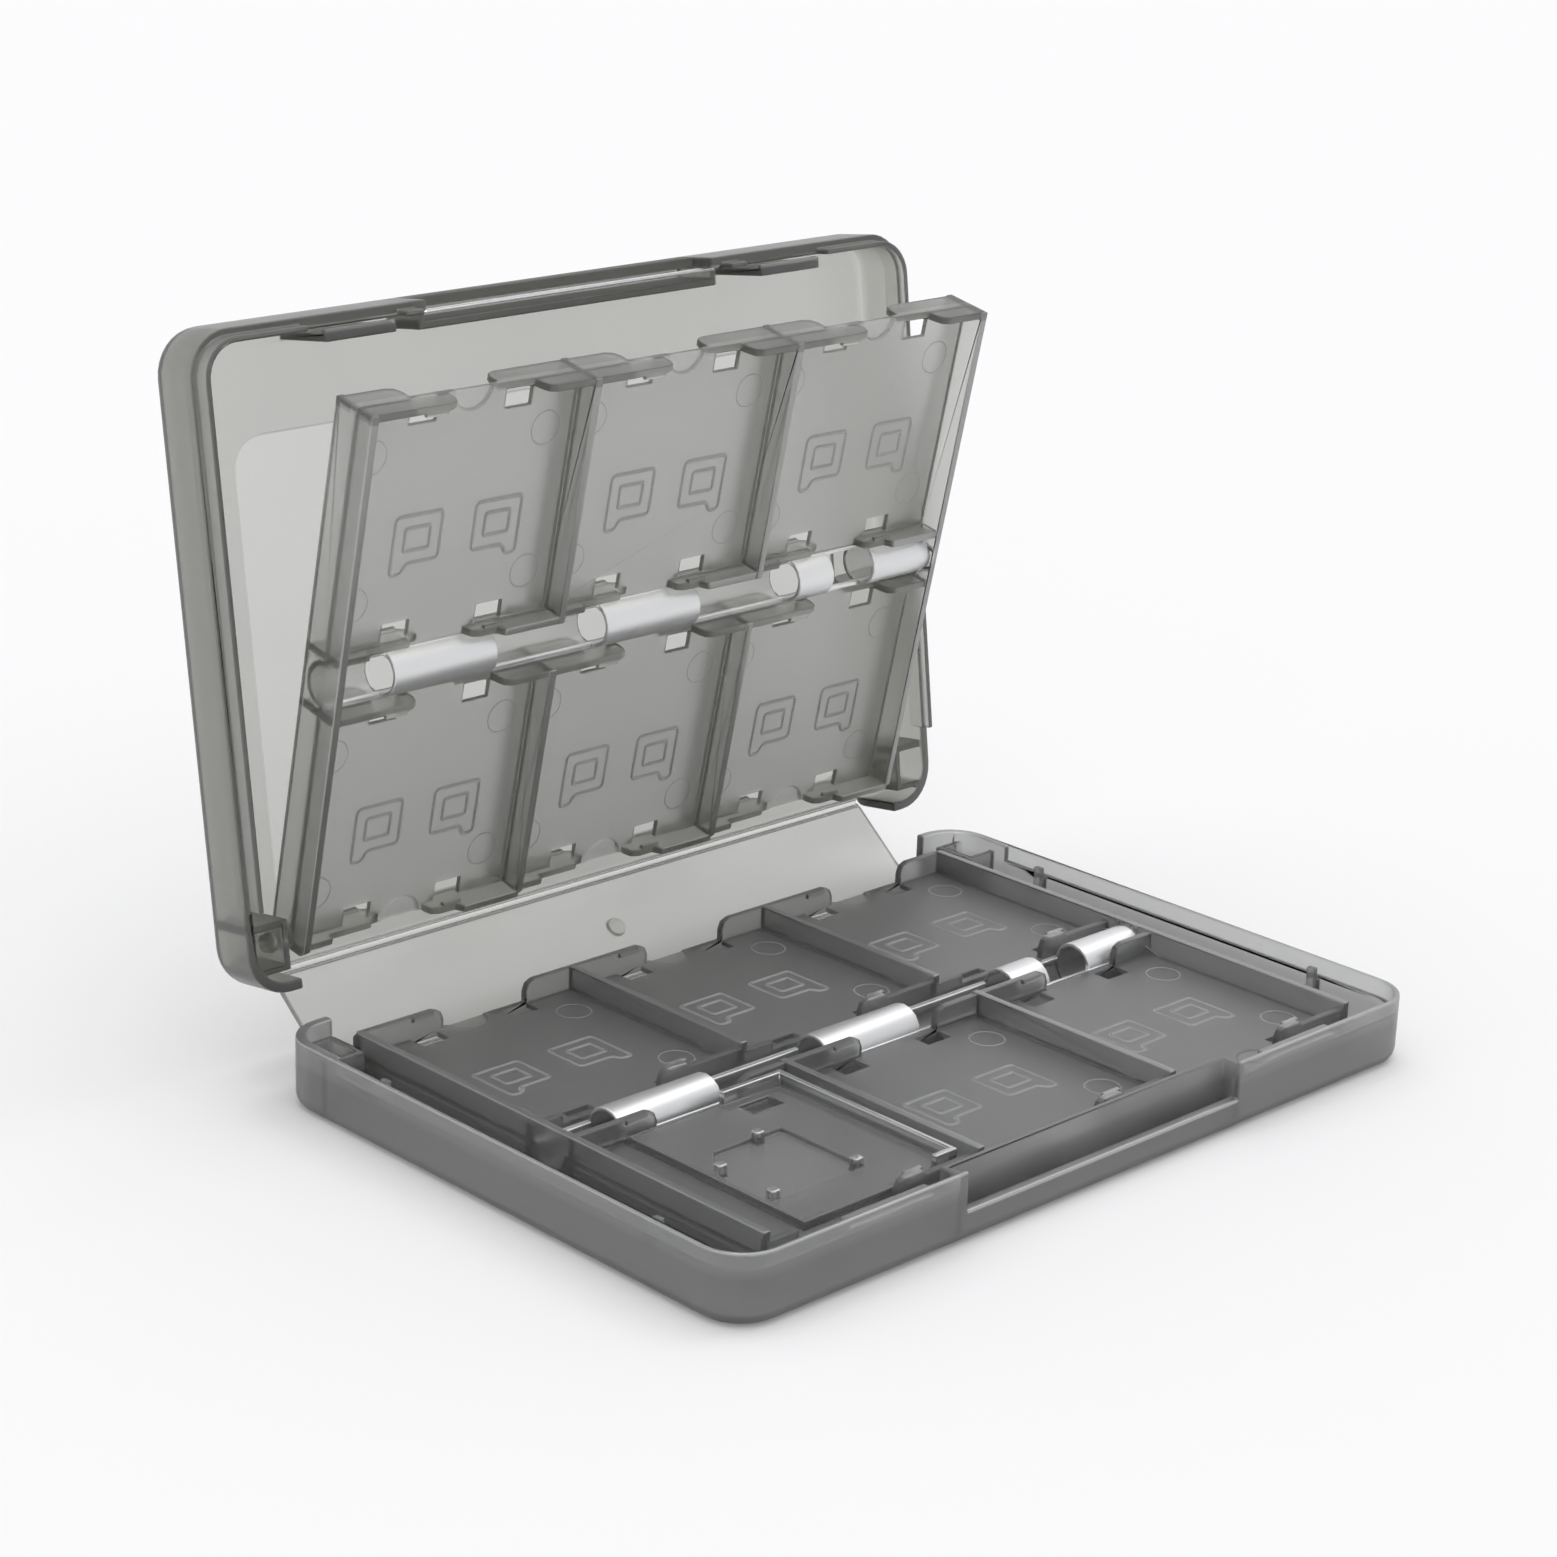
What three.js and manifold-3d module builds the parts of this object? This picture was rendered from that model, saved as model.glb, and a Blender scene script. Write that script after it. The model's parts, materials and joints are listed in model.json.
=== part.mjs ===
// Folding storage case for game cards: base tray, spine and lid joined by living hinges, with a two-sided
// card leaf swinging in each half and a loose memory card tray in one cell. Millimetres, +Z up, +X along the
// hinge, -Y towards the thumb recess; the origin is the centre of the base's underside.
import * as THREE from 'three';
import { mergeVertices } from 'three/addons/utils/BufferGeometryUtils.js';
import Module from 'manifold-3d';

const wasm = await Module();
wasm.setup();

// Case halves
const CASE_W = 144; // along the hinge
const CASE_D = 98; // hinge side to free edge
const BASE_H = 10.7; // base wall, outside
const LID_H = 9.5; // lid wall, outside
const RIM_GAP = 0.2; // between the two rims when closed
const CORNER_R = 7; // plan corners
const EDGE_R = 2; // rounding of the outer edge
const PANEL_T = 1.2; // floor, lid panel and spine
const WALL_T = 1.6; // upright walls
const OVERLAP = 0.2; // how far joined features run into each other

// Nesting rim: a rebate in the base, a lip on the lid
const RIM_T = 0.8; // outer skin left beside the rebate
const REBATE_H = 2.7;
const RIM_START = 13.5; // from the hinge side, where rebate and lip begin
const LIP_T = 0.9;
const LIP_GAP = 0.25; // beside the lip
const LIP_END_GAP = 0.5; // under the lip
const LIP_ROOT = 2.2; // height of lip carried on the lid wall

// Living hinges
const HOOK_W = 9.2; // width of the corner hooks beside the spine
const HINGE_SLOT = 0.9; // panel edge to hinge axis
const HINGE_SIDE_GAP = 0.5; // spine to corner hook
const WEB_T = 0.4; // flexing strip
const WEB_GAP = 0.15; // strip to the panel it swings with
const SPINE_NUB_R = 1.6;
const SPINE_NUB_H = 0.8;

// Pose in which the case stands open, degrees
const SPINE_ANGLE = 38.8; // spine above the table
const LID_ANGLE = 81.9; // lid above the table
const LEAF_ANGLE = 19.3; // upper leaf swung away from the lid

// Thumb recess in each free edge
const THUMB_W = 58;
const THUMB_LIP_H = 4.9; // height left of the outer wall
const THUMB_INSET = 3.3; // outer face to the set-back wall
const THUMB_WALL_T = 1.2;
const THUMB_DROP = 0.5; // set-back wall below the rim

// Latches: flexing tabs on the lid, catch bars on the base
const LATCH_X = 43.5; // centre of each latch
const LATCH_W = 13;
const CATCH_EXTRA = 1.5; // catch bar wider than the tab, each side
const CATCH_REACH = 2.3; // outer face to the bar's inner face
const CATCH_T = 1;
const CATCH_DROP = 0.5; // bar below the rim
const TAB_GAP = 0.3; // tab to bar
const TAB_T = 1.2;
const HOOK_REACH = 0.7; // hook proud of the tab
const HOOK_H = 1;
const HOOK_GAP = 0.2; // hook under the bar
const LIP_BREAK = 1; // lip stops this far from a latch or thumb recess

// Nubs on the base side walls that keep the leaf down
const NUB_FROM_HINGE = [21.5, 79];
const NUB_L = 1.6;
const NUB_T = 1;
const NUB_CLEAR = 0.3; // nub to the lid's lip
const NUB_ROOT = 2.6; // height of the nub's foot on the wall
const NUB_DROP = 0.9; // nub below the rim

// Light window moulded thin in the lid panel
const WINDOW_T = 0.7;
const WINDOW_SIDE = 12; // case side to window
const WINDOW_START = 6; // hinge side to window
const WINDOW_L = 75;
const WINDOW_R = 5;

// Card leaves
const COLUMNS = 3;
const LEAF_SIDE_ROOM = 9.85; // case side to leaf end
const LEAF_HINGE_ROOM = 5.4; // hinge side to leaf end
const LEAF_FREE_ROOM = 5.6; // free edge to leaf end
const LEAF_FLOOR_GAP = 0.35; // leaf to panel
const LEAF_MEET_GAP = 0.5; // leaf to leaf when closed
const LEAF_WALL = 1.3; // end walls and dividers
const CARD_WEB = 0.9; // sheet between the two faces
const PLATE_T = 1.2; // cross plates above and below the cards
const CHANNEL_L = 7.8; // stylus channel between the two rows
const LEAF_CHAMFER = 1;

// Cross plates on the shown face: at one end of a row a plain arm to the right of each wall and a stub to its
// left, at the other end a snap finger to the left and a block with a low ledge to the right
const ARM_L = 15.6;
const ARM_DROP = 0.3; // arm and stub below the leaf face
const STUB_L = 9.4;
const FINGER_L = 16.5;
const FOOT_L = 10.7; // finger's foot beside the wall
const STEP_L = 1; // slope between foot and tip
const PLATE_R = 1.8; // rounded free ends
const BLOCK_L = 6;
const BLOCK_DROP = 1.6; // block below the leaf face
const LEDGE_L = 14.2; // end of the ledge from the wall
const LEDGE_H = 0.9; // ledge above the sheet
const LIP_REACH = 0.6; // snap lips over the card
const SNAP_T = 0.8;
const ARM_LIP = [9.4, 13.4]; // from the wall
const FINGER_LIP = [10.6, 14.1]; // from the wall
const SLOT_SPAN = [9.3, 14.2]; // moulding slots through the sheet, from the wall
const SLOT_W = 3;
// shown: face turned to the user; armSide: end of a row, 1 towards the pivot, at which that face has its arms
const UPPER_PLATES = { shown: 1, armSide: -1, footDrop: 0.1, tipDrop: 1.4 };
const LOWER_PLATES = { shown: -1, armSide: 1, footDrop: 0.9, tipDrop: 0.1 };
const SCALLOP_R = 3.5; // thumb scallops at the cell ends
const SCALLOP_T = 0.45;

// Stylus channel: half barrels that bulge to one face and then to the other, and a whole tube at the mouth
const BORE_R = 3;
const BARREL_T = 0.7;
const BARREL_START = 10.4; // from the wall on its left
const BARREL_L = 19.3;
const SHORT_BARREL_L = 7.7; // in the last column
const MOUTH_L = 14.4; // tube at the mouth
const BARREL_GAP = 0.3;

// Leaf pivots: moulded pins in the brackets of each half
const PIVOT_V = 1.7; // leaf end to pin axis
const PIN_R = 1.4;
const PIN_CLEAR = 0.1;
const BRACKET_GAP = 2.1; // leaf end to bracket
const BRACKET_T = 1.2;
const BRACKET_HALF = 3.9;
const BRACKET_RISE = 3.3; // above the pin axis
const RIB_T = 1.1;
const PIN_PAST = 1.2; // pin past the bracket

// Memory card tray
const TRAY_LEFT_GAP = 8.4; // cell wall to tray
const TRAY_RIGHT_GAP = 1.9;
const TRAY_END_GAP = 0.4; // to the snap lips
const TRAY_T = 1.4;
const TRAY_RIM_H = 3.5;
const TRAY_RIM_T = 1;
const TRAY_BACK_RIM_L = 12; // short rim on the hinge side
const TRAY_FRONT_RIM_L = 4.2;
const TRAY_SEAT_GAP = 0.05;
const RECESS_W = 17.4; // memory card recess
const RECESS_L = 16.4;
const RECESS_D = 0.6;
const RECESS_CLIP = 4.5; // clipped corner of the memory card
const RECESS_LEFT = 1.1; // tray side to recess
const RECESS_BACK = 11.6; // hinge side of the tray to recess
const TRAY_NUB = 1.5; // nubs that hold the memory card
const TRAY_NUB_H = 1.4;
const TRAY_SLOT_W = 6; // moulding slot behind the short rim
const TRAY_SLOT_L = 3.2;

// Worked out from the above
const CLOSED_T = BASE_H + RIM_GAP + LID_H;
const HINGE_N = PANEL_T / 2; // hinge axis inside the outer faces
const SPINE_L = CLOSED_T - PANEL_T; // axis to axis
const LEAF_T = (CLOSED_T - 2 * PANEL_T - 2 * LEAF_FLOOR_GAP - LEAF_MEET_GAP) / 2;
const LEAF_W = CASE_W - 2 * LEAF_SIDE_ROOM;
const LEAF_L = CASE_D - LEAF_HINGE_ROOM - LEAF_FREE_ROOM;
const PITCH = (LEAF_W - LEAF_WALL) / COLUMNS;
const CELL_L = (LEAF_L - CHANNEL_L) / 2 - 2 * PLATE_T;
const PIVOT_E = LEAF_HINGE_ROOM + PIVOT_V;
const PIVOT_N = PANEL_T + LEAF_FLOOR_GAP + LEAF_T / 2;
const BRACKET_X = LEAF_W / 2 + BRACKET_GAP;
const HOOK_X = CASE_W / 2 - HOOK_W;
const LIP_H = REBATE_H + RIM_GAP - LIP_END_GAP;
const LIP_INNER = RIM_T + LIP_GAP + LIP_T; // outer face to the lip's inner face
const TAB_E = CASE_D - CATCH_REACH - TAB_GAP; // tab's outer face from the hinge side
const TAB_H = CLOSED_T - BASE_H + CATCH_DROP + CATCH_T + HOOK_GAP + HOOK_H;
const THUMB_HALF = THUMB_W / 2;
const FAR = CASE_W + CASE_D; // longer than any cut needs
const ARC_STEPS = 4; // half the facets of an arc
const ROUND_STEPS = 20; // facets of a round bar

// A closed three.js geometry as a solid that can be joined and cut
function solid(geometry) {
  const bare = geometry.clone();
  bare.deleteAttribute('normal');
  bare.deleteAttribute('uv');
  const merged = mergeVertices(bare, 1e-5);
  const vertProperties = new Float32Array(merged.attributes.position.array);
  const triVerts = new Uint32Array(merged.index.array);
  return new wasm.Manifold(new wasm.Mesh({ numProp: 3, vertProperties, triVerts }));
}

// Box between two corners given as [low, high] along each axis
function box([x0, x1], [y0, y1], [z0, z1]) {
  const geometry = new THREE.BoxGeometry(x1 - x0, y1 - y0, z1 - z0);
  return solid(geometry.translate((x0 + x1) / 2, (y0 + y1) / 2, (z0 + z1) / 2));
}

// The same box on both sides of the middle plane x = 0
function boxPair([x0, x1], y, z) {
  return box([x0, x1], y, z).add(box([-x1, -x0], y, z));
}

function extrude(shape, depth) {
  return new THREE.ExtrudeGeometry(shape, { depth, bevelEnabled: false, curveSegments: ARC_STEPS });
}

// Shape in x and y raised from z0 to z1
function prism(shape, [z0, z1]) {
  return solid(extrude(shape, z1 - z0).translate(0, 0, z0));
}

// Shape in y and z swept along x
function sweepX(shape, [x0, x1]) {
  const geometry = extrude(shape, x1 - x0);
  geometry.applyMatrix4(new THREE.Matrix4().set(0, 0, 1, x0, 1, 0, 0, 0, 0, 1, 0, 0, 0, 0, 0, 1));
  return solid(geometry);
}

// Shape in x and z swept along y
function sweepY(shape, [y0, y1]) {
  const geometry = extrude(shape, y1 - y0);
  geometry.applyMatrix4(new THREE.Matrix4().set(1, 0, 0, 0, 0, 0, -1, y1, 0, 1, 0, 0, 0, 0, 0, 1));
  return solid(geometry);
}

// Round bar along x at height z and depth y
function barX(radius, [x0, x1], y, z) {
  const geometry = new THREE.CylinderGeometry(radius, radius, x1 - x0, ROUND_STEPS);
  geometry.rotateZ(Math.PI / 2);
  return solid(geometry.translate((x0 + x1) / 2, y, z));
}

function join(solids) {
  return solids.reduce((whole, piece) => whole.add(piece));
}

function roundedRectangle([x0, x1], [y0, y1], radius) {
  const shape = new THREE.Shape();
  shape.absarc(x1 - radius, y0 + radius, radius, -Math.PI / 2, 0);
  shape.absarc(x1 - radius, y1 - radius, radius, 0, Math.PI / 2);
  shape.absarc(x0 + radius, y1 - radius, radius, Math.PI / 2, Math.PI);
  shape.absarc(x0 + radius, y0 + radius, radius, Math.PI, 1.5 * Math.PI);
  return shape;
}

function mesh(name, body, colour, opacity) {
  const { vertProperties, triVerts } = body.getMesh();
  const geometry = new THREE.BufferGeometry();
  geometry.setAttribute('position', new THREE.BufferAttribute(vertProperties, 3));
  geometry.setIndex(new THREE.BufferAttribute(triVerts, 1));
  const faceted = geometry.toNonIndexed();
  faceted.computeVertexNormals();
  const material = new THREE.MeshStandardMaterial({
    color: colour,
    roughness: 0.35,
    metalness: 0,
    transparent: true,
    opacity,
  });
  const result = new THREE.Mesh(faceted, material);
  result.name = name;
  return result;
}

// The halves are drawn with x along the hinge, y from the hinge side to the free edge,
// and z from the outer face to the inside.

// Case outline moved inwards
function outline(inset) {
  const half = CASE_W / 2 - inset;
  return roundedRectangle([-half, half], [inset, CASE_D - inset], CORNER_R - inset);
}

// Open tray with a rounded outer edge and no hinge-side wall between the corner hooks
function openTray(height) {
  const block = new THREE.ExtrudeGeometry(outline(0), {
    depth: height,
    bevelThickness: EDGE_R,
    bevelSize: EDGE_R,
    bevelOffset: -EDGE_R,
    bevelSegments: ARC_STEPS,
    curveSegments: ARC_STEPS,
  });
  const everywhere = [-FAR, FAR];
  return solid(block.translate(0, 0, EDGE_R))
    .subtract(box(everywhere, everywhere, [height, FAR]))
    .subtract(prism(outline(WALL_T), [PANEL_T, FAR]))
    .subtract(box([-HOOK_X, HOOK_X], [-FAR, WALL_T + OVERLAP], [PANEL_T, FAR]))
    .subtract(box([-HOOK_X, HOOK_X], [-FAR, HINGE_N + HINGE_SLOT], everywhere));
}

// Pivot brackets in the two hinge-side corners, each a plate on two ribs with a round hole
function addBrackets(shell) {
  const rise = [PANEL_T - OVERLAP, PIVOT_N + BRACKET_RISE];
  const plateX = [BRACKET_X, BRACKET_X + BRACKET_T];
  const hingeEnd = PIVOT_E - BRACKET_HALF;
  const freeEnd = PIVOT_E + BRACKET_HALF;
  const ribX = [BRACKET_X, CASE_W / 2 - WALL_T / 2];
  const ribs = join([
    boxPair(plateX, [hingeEnd, freeEnd], rise),
    boxPair(ribX, [hingeEnd, hingeEnd + RIB_T], rise),
    boxPair(ribX, [freeEnd - RIB_T, freeEnd], rise),
  ]).intersect(prism(outline(WALL_T / 2), [0, FAR]));
  const past = BRACKET_X + BRACKET_T + PIN_PAST;
  const hole = barX(PIN_R + PIN_CLEAR, [-past, past], PIVOT_E, PIVOT_N);
  return shell.add(ribs.subtract(hole));
}

// Thumb recess: the outer wall is cut low and a second wall stands behind the gap
function addThumbRecess(shell, height) {
  const innerFace = CASE_D - THUMB_INSET;
  const top = height - THUMB_DROP;
  const wallX = THUMB_HALF + THUMB_WALL_T;
  const wallY = [innerFace - THUMB_WALL_T, innerFace];
  const wallZ = [PANEL_T - OVERLAP, top];
  const cut = box([-THUMB_HALF, THUMB_HALF], [CASE_D - WALL_T - OVERLAP, FAR], [THUMB_LIP_H, FAR]);
  const returns = boxPair([THUMB_HALF, wallX], [innerFace - THUMB_WALL_T, CASE_D - WALL_T / 2], wallZ);
  return shell.subtract(cut).add(box([-wallX, wallX], wallY, wallZ)).add(returns);
}

function baseShell() {
  const ledge = BASE_H - REBATE_H;
  const hingeSide = box([-FAR, FAR], [-FAR, RIM_START], [0, 2 * FAR]);
  const rebate = prism(outline(RIM_T), [ledge, FAR]).subtract(hingeSide);
  const catchHalf = LATCH_W / 2 + CATCH_EXTRA;
  const catchTop = BASE_H - CATCH_DROP;
  const catches = boxPair(
    [LATCH_X - catchHalf, LATCH_X + catchHalf],
    [CASE_D - CATCH_REACH, CASE_D - RIM_T / 2],
    [catchTop - CATCH_T, catchTop],
  );
  const nubFace = CASE_W / 2 - LIP_INNER - NUB_CLEAR;
  const nubs = NUB_FROM_HINGE.flatMap((start) => {
    const nubY = [start, start + NUB_L];
    return [
      boxPair([nubFace - NUB_T, nubFace], nubY, [ledge - NUB_ROOT, BASE_H - NUB_DROP]),
      boxPair([nubFace - NUB_T, CASE_W / 2 - WALL_T / 2], nubY, [ledge - NUB_ROOT, ledge - OVERLAP]),
    ];
  });
  const shell = addBrackets(openTray(BASE_H).subtract(rebate));
  return addThumbRecess(join([shell, catches, ...nubs]), BASE_H);
}

function lidShell() {
  const lipOuter = RIM_T + LIP_GAP;
  const lipZ = [LID_H - LIP_ROOT, LID_H + LIP_H];
  const tabLow = LATCH_X - LATCH_W / 2 - CATCH_EXTRA - LIP_BREAK;
  const tabHigh = LATCH_X + LATCH_W / 2 + CATCH_EXTRA + LIP_BREAK;
  const thumbBreak = THUMB_HALF + THUMB_WALL_T + LIP_BREAK;
  const front = [CASE_D / 2, FAR];
  const above = [LID_H, FAR];
  const lip = prism(outline(lipOuter), lipZ)
    .subtract(prism(outline(LIP_INNER), [0, FAR]))
    .subtract(box([-FAR, FAR], [-FAR, RIM_START], [0, FAR]))
    .subtract(boxPair([tabLow, tabHigh], front, above))
    .subtract(box([-thumbBreak, thumbBreak], front, above));
  const tabX = [LATCH_X - LATCH_W / 2, LATCH_X + LATCH_W / 2];
  const tabs = boxPair(tabX, [TAB_E - TAB_T, TAB_E], [PANEL_T - OVERLAP, TAB_H])
    .add(boxPair(tabX, [TAB_E - OVERLAP, TAB_E + HOOK_REACH], [TAB_H - HOOK_H, TAB_H]));
  const windowX = CASE_W / 2 - WINDOW_SIDE;
  const windowY = [WINDOW_START, WINDOW_START + WINDOW_L];
  const windowShape = roundedRectangle([-windowX, windowX], windowY, WINDOW_R);
  const window = prism(windowShape, [WINDOW_T, PANEL_T + OVERLAP]);
  const shell = addBrackets(openTray(LID_H).add(lip).subtract(window));
  return addThumbRecess(shell, LID_H).add(tabs);
}

// Spine panel, drawn with y from the base hinge to the lid hinge and z towards the inside
function spinePanel() {
  const halfW = HOOK_X - HINGE_SIDE_GAP;
  const panel = box([-halfW, halfW], [HINGE_SLOT, SPINE_L - HINGE_SLOT], [-PANEL_T / 2, PANEL_T / 2]);
  const nub = new THREE.CylinderGeometry(SPINE_NUB_R, SPINE_NUB_R, SPINE_NUB_H + OVERLAP, ROUND_STEPS);
  nub.rotateX(Math.PI / 2);
  const rise = PANEL_T / 2 + (SPINE_NUB_H - OVERLAP) / 2;
  return panel.add(solid(nub.translate(0, SPINE_L / 2, rise)));
}

// Flexing strip, bent by an angle at the hinge axis: in along the fixed panel, then out along the other
function hingeWeb(bend) {
  const half = WEB_T / 2;
  const halfW = HOOK_X - HINGE_SIDE_GAP;
  const reach = HINGE_SLOT - WEB_GAP;
  const along = new THREE.Vector2(Math.cos(bend), Math.sin(bend));
  const across = new THREE.Vector2(-along.y, along.x);
  const tip = along.clone().multiplyScalar(reach);
  const mitre = half * Math.tan(bend / 2);
  const strip = new THREE.Shape([
    new THREE.Vector2(-HINGE_SLOT, -half),
    new THREE.Vector2(mitre, -half),
    tip.clone().addScaledVector(across, -half),
    tip.clone().addScaledVector(across, half),
    new THREE.Vector2(-mitre, half),
    new THREE.Vector2(-HINGE_SLOT, half),
  ]);
  return sweepX(strip, [-halfW, halfW]);
}

// Card leaf, drawn with x along the hinge, y from the pivot to the free end and z out of its front face.

// Points of a plate's rounded free end in x and z, from the sheet up to the flat top
function roundedEnd(end, way, high) {
  const centre = end - way * PLATE_R;
  const from = way > 0 ? 0 : Math.PI;
  const curve = new THREE.EllipseCurve(centre, high - PLATE_R, PLATE_R, PLATE_R, from, Math.PI / 2, way < 0);
  return [new THREE.Vector2(end, 0), ...curve.getPoints(ARC_STEPS / 2)];
}

// Edge of a plate with stub and arm, from left to right
function armEdge(wallX, hasLeft, hasRight) {
  const high = LEAF_T / 2 - ARM_DROP;
  const atWall = [new THREE.Vector2(wallX, 0), new THREE.Vector2(wallX, high)];
  const left = hasLeft ? roundedEnd(wallX - STUB_L, -1, high) : atWall;
  const right = hasRight ? roundedEnd(wallX + ARM_L, 1, high) : atWall;
  return [...left, ...right.reverse()];
}

// Edge of a plate with finger and block, from left to right
function fingerEdge(wallX, hasLeft, hasRight, { footDrop, tipDrop }) {
  const top = LEAF_T / 2;
  const tip = top - tipDrop;
  const ledge = CARD_WEB / 2 + LEDGE_H;
  const root = new THREE.Vector2(wallX, 0);
  const left = [
    ...roundedEnd(wallX - FINGER_L, -1, tip),
    new THREE.Vector2(wallX - FOOT_L - STEP_L, tip),
    new THREE.Vector2(wallX - FOOT_L, top - footDrop),
    new THREE.Vector2(wallX, top - footDrop),
  ];
  const right = [
    new THREE.Vector2(wallX, top - BLOCK_DROP),
    new THREE.Vector2(wallX + BLOCK_L, top - BLOCK_DROP),
    new THREE.Vector2(wallX + BLOCK_L, ledge),
    new THREE.Vector2(wallX + LEDGE_L, ledge),
    new THREE.Vector2(wallX + LEDGE_L, 0),
  ];
  return [...(hasLeft ? left : [root]), ...(hasRight ? right : [root])];
}

// The same edge turned round its wall, from left to right again
function mirrored(edge, wallX) {
  return edge.map((point) => new THREE.Vector2(2 * wallX - point.x, point.y)).reverse();
}

// Cross plate between its front edge and its rear edge
function plateShape(front, rear) {
  const back = rear.map((point) => new THREE.Vector2(point.x, -point.y)).reverse();
  const all = [...front, ...back];
  return new THREE.Shape(all.filter((point, i) => i === 0 || point.distanceTo(all[i - 1]) > 1e-6));
}

// Range from an inner to an outer distance on one side of a place
function beside(place, side, inner, outer) {
  return [place + side * inner, place + side * outer].sort((a, b) => a - b);
}

// Snap lip over the card, on the front face (1) or the rear face (-1)
function snapLip(x, plateEdge, side, face, drop) {
  const top = LEAF_T / 2 - drop;
  const z = face > 0 ? [top - SNAP_T, top] : [-top, SNAP_T - top];
  return box(x, beside(plateEdge, side, -OVERLAP, LIP_REACH), z);
}

// Half barrel bulging towards +z (or -z), seen along x
function halfBarrel(x, middle, bulge) {
  const outer = BORE_R + BARREL_T;
  const foot = CARD_WEB / 2;
  const shape = new THREE.Shape();
  shape.moveTo(middle + outer, -bulge * foot);
  shape.lineTo(middle + outer, 0);
  shape.absarc(middle, 0, outer, 0, Math.PI * bulge, bulge < 0);
  shape.lineTo(middle - outer, -bulge * foot);
  shape.lineTo(middle - BORE_R, -bulge * foot);
  shape.lineTo(middle - BORE_R, 0);
  shape.absarc(middle, 0, BORE_R, Math.PI, Math.PI * (1 - bulge), bulge > 0);
  shape.lineTo(middle + BORE_R, -bulge * foot);
  return sweepX(shape, x);
}

// Half barrels on the shown face, one a column, rear ones between them, and the tube at the mouth
function barrels(walls, middle, bulge) {
  const end = LEAF_W / 2 - LEAF_WALL + OVERLAP;
  const fronts = walls.slice(0, COLUMNS).map((x, column) => {
    const length = column < COLUMNS - 1 ? BARREL_L : SHORT_BARREL_L;
    return [x + BARREL_START, x + BARREL_START + length];
  });
  const rears = fronts.map(([x], column) => {
    const before = column > 0 ? fronts[column - 1][1] + BARREL_GAP : -end;
    return [before, x - BARREL_GAP];
  });
  const mouth = [LEAF_W / 2 - MOUTH_L, end];
  return join([
    ...[...fronts, mouth].map((x) => halfBarrel(x, middle, bulge)),
    ...[...rears, mouth].map((x) => halfBarrel(x, middle, -bulge)),
  ]);
}

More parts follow.
